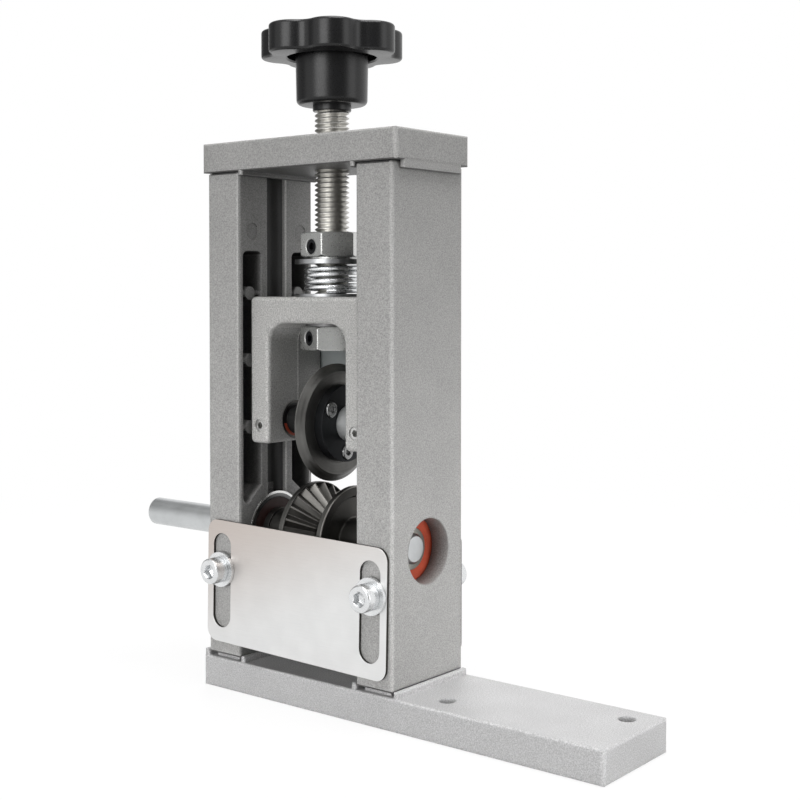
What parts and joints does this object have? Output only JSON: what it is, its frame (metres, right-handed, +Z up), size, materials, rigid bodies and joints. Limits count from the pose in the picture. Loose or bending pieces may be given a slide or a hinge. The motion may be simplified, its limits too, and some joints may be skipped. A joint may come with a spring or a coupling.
{
  "type": "hand crank wire stripper",
  "caption": "Bench wire stripper with a toothed wheel pair on a crank shaft, a round blade on a screw-set carriage, a lobed black knob and two height-set guide sheets in a cast frame.",
  "frame": {"origin": "on the base's underside, straight below the axis of the adjusting screw", "axes": "+Z up along the adjusting screw, +X along the base's long tail, cable runs along +Y, crank end of the shaft points along -X"},
  "size_m": [0.2472, 0.062, 0.2719],
  "materials": {
    "cast_frame": "silver-grey speckled metallic powder coat on a die casting",
    "cast_carriage": "grey speckled coat on a die casting",
    "zinc_steel": "bright zinc plate",
    "dull_zinc": "dull zinc plate",
    "guard_steel": "dull grey-blue plated sheet",
    "screw_steel": "warm zinc plate on a threaded rod",
    "bearing_steel": "ground bearing steel",
    "ball_chrome": "polished balls",
    "seal_rubber": "red-brown rubber seal",
    "dark_steel": "oiled dark steel",
    "blade_steel": "ground tool steel",
    "black_steel": "black oxide",
    "sheet_steel": "brushed zinc-plated sheet",
    "black_plastic": "black moulded plastic"
  },
  "bodies": {
    "frame": {"base_plate": "cast_frame", "left_post": "cast_frame", "right_post": "cast_frame", "top_plate": "cast_frame", "base_bolts": "zinc_steel", "top_bolts": "zinc_steel", "shaft_bearing_outer_rings": "bearing_steel", "shaft_bearing_seals": "seal_rubber", "sheet_screws": "zinc_steel", "sheet_washers": "zinc_steel"},
    "drive": {"drive_shaft": "zinc_steel", "left_feed_wheel": "dark_steel", "right_feed_wheel": "dark_steel", "wheel_spacers": "dark_steel", "wheel_set_screws": "black_steel", "shaft_bearing_inner_rings": "bearing_steel", "shaft_bearing_balls": "ball_chrome"},
    "carriage": {"carriage": "cast_carriage", "carriage_set_screws": "black_steel", "spindle_bearing_outer_rings": "dark_steel", "spindle_bearing_seals": "seal_rubber", "blade_guard": "guard_steel", "guard_screws": "zinc_steel", "lower_spring_washer": "zinc_steel", "pressure_spring": "zinc_steel", "upper_spring_washer": "zinc_steel", "thrust_washer": "zinc_steel"},
    "blade": {"spindle_bearing_inner_rings": "dark_steel", "spindle_bearing_balls": "ball_chrome", "blade_spindle": "zinc_steel", "spindle_sleeves": "dull_zinc", "blade": "blade_steel", "blade_flange": "black_steel", "blade_clamp_ring": "black_steel", "blade_screws": "zinc_steel"},
    "screw": {"adjusting_screw": "screw_steel", "collar_nut": "zinc_steel", "lower_nut": "zinc_steel", "nut_set_screws": "black_steel", "knob": "black_plastic"},
    "front_sheet": {"front_sheet": "sheet_steel"},
    "rear_sheet": {"rear_sheet": "sheet_steel"}
  },
  "joints": [
    {"name": "crank_spin", "type": "hinge", "parent": "frame", "child": "drive", "pos_m": [0, 0, 0.0648], "axis": [1, 0, 0], "continuous": true},
    {"name": "carriage_slide", "type": "slide", "parent": "frame", "child": "carriage", "axis": [0, 0, 1], "range_m": [-0.009, 0.0245]},
    {"name": "screw_turn", "type": "hinge", "parent": "carriage", "child": "screw", "pos_m": [0, 0, 0], "axis": [0, 0, 1], "range_deg": [-1630, 4430]},
    {"name": "blade_spin", "type": "hinge", "parent": "carriage", "child": "blade", "pos_m": [0, 0, 0.1118], "axis": [1, 0, 0], "continuous": true},
    {"name": "front_sheet_slide", "type": "slide", "parent": "frame", "child": "front_sheet", "axis": [0, 0, 1], "range_m": [-0.005, 0.02]},
    {"name": "rear_sheet_slide", "type": "slide", "parent": "frame", "child": "rear_sheet", "axis": [0, 0, 1], "range_m": [-0.0059, 0.02]}
  ],
  "couplings": [
    {"joint": "screw_turn", "follows": "carriage_slide", "rad_per_m": 3141.6}
  ]
}
